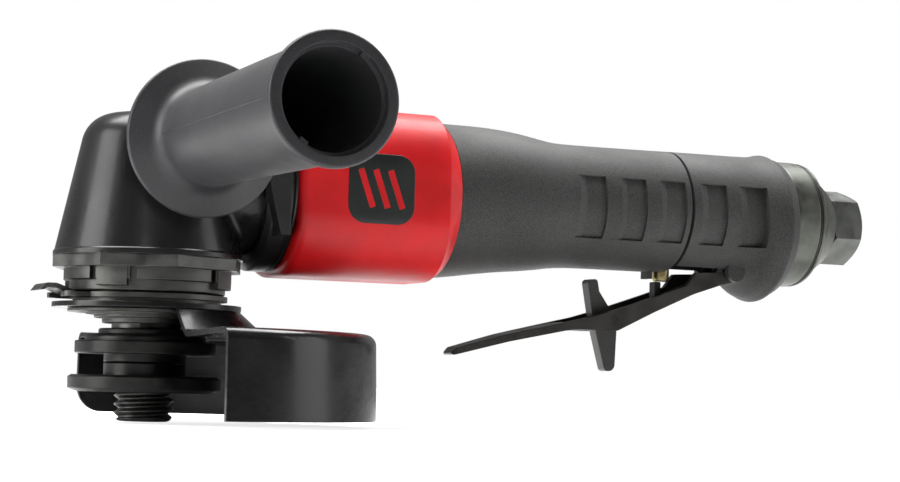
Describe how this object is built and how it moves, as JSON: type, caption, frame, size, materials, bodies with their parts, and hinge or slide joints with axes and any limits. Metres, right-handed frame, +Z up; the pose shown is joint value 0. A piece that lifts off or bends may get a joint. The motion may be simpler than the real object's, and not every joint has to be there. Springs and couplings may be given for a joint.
{
  "type": "pneumatic angle grinder",
  "caption": "Lever-operated pneumatic angle grinder with side handle, half-round wheel guard, flanged spindle and rear air inlet.",
  "frame": {"origin": "spindle axis at the wheel seat, the lower face of the inner flange", "axes": "+Z up the spindle towards the top of the head, +X along the motor towards the air inlet, -Y along the side handle"},
  "size_m": [0.2576, 0.1851, 0.0948],
  "materials": {
    "case_paint": "gloss black enamel",
    "guard_paint": "gloss black enamel",
    "spring_steel": "dark tempered steel",
    "cap_steel": "dark satin steel",
    "spindle_steel": "satin steel",
    "black_oxide": "black oxide",
    "gear_steel": "ground steel",
    "bearing_steel": "polished",
    "motor_iron": "ground iron",
    "vane_resin": "phenolic resin",
    "housing_alloy": "machined",
    "adapter_black": "satin black",
    "cover_red": "semi-gloss red",
    "grip_rubber": "fine-grained rubber",
    "brass": "plain",
    "seal_rubber": "smooth",
    "lever_black": "satin black",
    "latch_black": "satin black",
    "inlet_steel": "dark plated steel",
    "end_alloy": "dark anodised",
    "silencer_felt": "pressed felt",
    "handle_plastic": "matte moulded plastic"
  },
  "bodies": {
    "tool": {"adapter_ring": "adapter_black", "alignment_pin": "gear_steel", "bearing_cap": "cap_steel", "collar_oring": "seal_rubber", "end_cap": "end_alloy", "front_end_plate": "motor_iron", "gear_case": "case_paint", "grip_front": "grip_rubber", "grip_rear": "grip_rubber", "guard_retainer": "cap_steel", "handle_stud": "gear_steel", "inlet_bushing": "inlet_steel", "inlet_screen": "brass", "lever_pin": "gear_steel", "motor_cylinder": "motor_iron", "motor_housing": "housing_alloy", "pinion_outer_race": "bearing_steel", "rear_end_plate": "motor_iron", "red_cover": "cover_red", "rotor_front_outer_race": "bearing_steel", "rotor_rear_outer_race": "bearing_steel", "side_handle": "handle_plastic", "silencer": "silencer_felt", "spindle_lower_outer_race": "bearing_steel", "spindle_upper_outer_race": "bearing_steel", "valve_body": "housing_alloy", "valve_bushing": "brass", "valve_seat": "seal_rubber", "valve_spring": "spring_steel"},
    "guard": {"wheel_guard": "guard_paint", "latch_plate": "spring_steel"},
    "guard_tab": {"guard_latch": "spring_steel"},
    "output": {"spindle": "spindle_steel", "inner_flange": "black_oxide", "outer_flange_nut": "black_oxide", "bevel_gear": "gear_steel", "spindle_lower_inner_race": "bearing_steel", "spindle_lower_balls": "bearing_steel", "spindle_upper_inner_race": "bearing_steel", "spindle_upper_balls": "bearing_steel"},
    "motor_rotor": {"rotor": "gear_steel", "rotor_vanes": "vane_resin", "bevel_pinion": "gear_steel", "pinion_inner_race": "bearing_steel", "pinion_balls": "bearing_steel", "rotor_front_inner_race": "bearing_steel", "rotor_front_balls": "bearing_steel", "rotor_rear_inner_race": "bearing_steel", "rotor_rear_balls": "bearing_steel"},
    "throttle_lever": {"lever": "lever_black", "latch_pin": "lever_black", "latch_spring": "spring_steel"},
    "lock_latch": {"safety_latch": "latch_black"},
    "valve": {"valve_plunger": "brass", "throttle_valve": "seal_rubber"},
    "exhaust_ring": {"exhaust_collar": "end_alloy"}
  },
  "joints": [
    {"name": "spindle_spin", "type": "hinge", "parent": "tool", "child": "output", "pos_m": [0, 0, 0], "axis": [0, 0, 1], "continuous": true},
    {"name": "rotor_spin", "type": "hinge", "parent": "tool", "child": "motor_rotor", "pos_m": [0.06, 0, 0.0465], "axis": [1, 0, 0], "continuous": true},
    {"name": "guard_turn", "type": "hinge", "parent": "tool", "child": "guard", "pos_m": [0, 0, 0.0128], "axis": [0, 0, 1], "continuous": true},
    {"name": "guard_tab_press", "type": "hinge", "parent": "guard", "child": "guard_tab", "pos_m": [-0.0213, 0, 0.0155], "axis": [0, -1, 0], "range_deg": [0, 4], "stiffness_Nm_per_rad": 1.5, "springref_deg": -1.72},
    {"name": "lever_press", "type": "hinge", "parent": "tool", "child": "throttle_lever", "pos_m": [0.1812, 0, 0.0303], "axis": [0, 1, 0], "range_deg": [0, 8.5], "stiffness_Nm_per_rad": 3, "springref_deg": -5.73},
    {"name": "latch_swing", "type": "hinge", "parent": "throttle_lever", "child": "lock_latch", "pos_m": [0.1403, 0, 0.0148], "axis": [0, -1, 0], "range_deg": [0, 53], "stiffness_Nm_per_rad": 0.01, "springref_deg": -11.46},
    {"name": "valve_lift", "type": "slide", "parent": "tool", "child": "valve", "axis": [0, 0, 1], "range_m": [0, 0.0036], "stiffness_N_per_m": 50, "springref_m": -0.002, "deforming": ["valve_spring"]},
    {"name": "exhaust_turn", "type": "hinge", "parent": "tool", "child": "exhaust_ring", "pos_m": [0.2008, 0, 0.0465], "axis": [1, 0, 0], "continuous": true}
  ],
  "couplings": [
    {"joint": "rotor_spin", "follows": "spindle_spin", "ratio": 1.9231},
    {"joint": "latch_swing", "follows": "lever_press", "ratio": 6.2},
    {"joint": "valve_lift", "follows": "lever_press", "m_per_rad": 0.02354}
  ]
}
